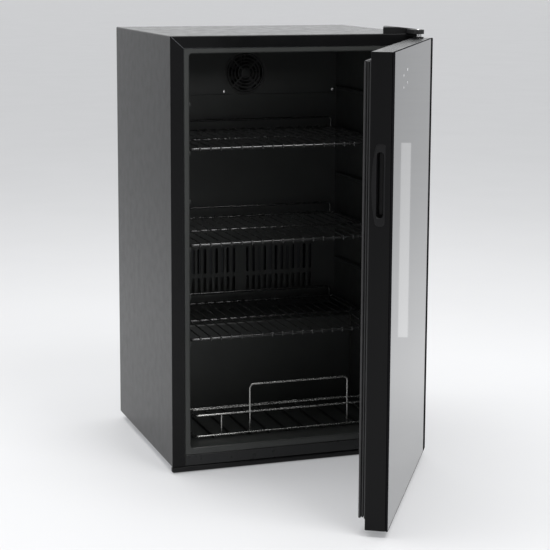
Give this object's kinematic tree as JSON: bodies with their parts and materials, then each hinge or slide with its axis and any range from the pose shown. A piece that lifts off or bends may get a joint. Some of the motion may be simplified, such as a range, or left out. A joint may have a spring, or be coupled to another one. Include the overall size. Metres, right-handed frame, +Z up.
{
  "type": "glass door merchandiser",
  "caption": "Compact black drinks cooler with a mirrored glass door, wire shelves, a fan-cooled compartment and a rear machine space.",
  "frame": {"origin": "bottom centre of the object's box with the door standing open as at rest; z = 0 is the floor under the feet", "axes": "+X to the right seen from the front, +Y towards the back, +Z up; the door side faces -Y"},
  "size_m": [0.5022, 0.8564, 0.8263],
  "materials": {
    "body_paint": "satin",
    "liner_plastic": "satin",
    "black_plastic": "satin",
    "foam": "matte",
    "door_mirror_glass": "polished",
    "clear_glass": "gloss",
    "door_frame": "satin",
    "bright_steel": "satin",
    "zinc_plate": "satin",
    "black_wire": "gloss",
    "rack_wire": "satin",
    "rubber": "matte",
    "coil_aluminium": "satin",
    "coil_copper": "satin",
    "circuit": "satin"
  },
  "bodies": {
    "cabinet": {"outer_shell": "body_paint", "front_sill": "body_paint", "rear_panel": "body_paint", "machine_cover": "body_paint", "base_pan": "zinc_plate", "machine_step": "zinc_plate", "kick_strip": "black_plastic", "insulation_foam": "foam", "inner_liner": "liner_plastic", "evaporator_cover": "liner_plastic", "fan_panel": "liner_plastic", "fan_grille": "black_plastic", "fan_frame": "black_plastic", "fan_motor": "zinc_plate", "evaporator": "coil_aluminium", "left_cover_screw": "bright_steel", "right_cover_screw": "bright_steel", "bottle_rack": "rack_wire", "top_hinge_bracket": "body_paint", "top_hinge_pin": "bright_steel", "left_hinge_screw": "bright_steel", "right_hinge_screw": "bright_steel", "top_hinge_cover": "black_plastic", "bottom_hinge_bracket": "body_paint", "bottom_hinge_pin": "bright_steel", "left_roller_bracket": "body_paint", "right_roller_bracket": "body_paint", "left_roller_axle": "bright_steel", "right_roller_axle": "bright_steel", "compressor_mount": "body_paint", "compressor": "body_paint", "starter_box": "black_plastic", "drip_tray": "black_plastic", "drain_tube": "black_plastic", "condenser_coil": "coil_copper", "cord_gland": "rubber"},
    "door": {"door_glass": "door_mirror_glass", "handle_stile": "door_frame", "hinge_stile": "door_frame", "top_rail": "door_frame", "bottom_rail": "door_frame", "handle_cup": "black_plastic", "control_board": "circuit", "inner_glass": "clear_glass", "glass_spacer": "coil_aluminium", "gasket": "rubber", "top_bush": "black_plastic", "bottom_bush": "black_plastic"},
    "top_shelf": {"top_shelf": "black_wire"},
    "middle_shelf": {"middle_shelf": "black_wire"},
    "bottom_shelf": {"bottom_shelf": "black_wire"},
    "evaporator_fan": {"fan_rotor": "black_plastic"},
    "left_foot": {"left_foot": "black_plastic"},
    "right_foot": {"right_foot": "black_plastic"},
    "left_roller": {"left_roller": "black_plastic"},
    "right_roller": {"right_roller": "black_plastic"}
  },
  "joints": [
    {"name": "door_hinge", "type": "hinge", "parent": "cabinet", "child": "door", "pos_m": [0.21988, -0.01278, 0.4], "axis": [0, 0, 1], "range_deg": [-58.7, 46.3]},
    {"name": "top_shelf_slide", "type": "slide", "parent": "cabinet", "child": "top_shelf", "axis": [0, -1, 0], "range_m": [0, 0.03]},
    {"name": "middle_shelf_slide", "type": "slide", "parent": "cabinet", "child": "middle_shelf", "axis": [0, -1, 0], "range_m": [0, 0.03]},
    {"name": "bottom_shelf_slide", "type": "slide", "parent": "cabinet", "child": "bottom_shelf", "axis": [0, -1, 0], "range_m": [0, 0.03]},
    {"name": "fan_spin", "type": "hinge", "parent": "cabinet", "child": "evaporator_fan", "pos_m": [0.00388, 0.37322, 0.721], "axis": [0, 1, 0], "continuous": true},
    {"name": "left_foot_turn", "type": "hinge", "parent": "cabinet", "child": "left_foot", "pos_m": [-0.21112, 0.05722, 0.007], "axis": [0, 0, 1], "continuous": true},
    {"name": "right_foot_turn", "type": "hinge", "parent": "cabinet", "child": "right_foot", "pos_m": [0.13688, 0.05722, 0.007], "axis": [0, 0, 1], "continuous": true},
    {"name": "left_roller_roll", "type": "hinge", "parent": "cabinet", "child": "left_roller", "pos_m": [-0.23312, 0.33522, 0.011], "axis": [1, 0, 0], "continuous": true},
    {"name": "right_roller_roll", "type": "hinge", "parent": "cabinet", "child": "right_roller", "pos_m": [0.22088, 0.33522, 0.011], "axis": [1, 0, 0], "continuous": true}
  ]
}
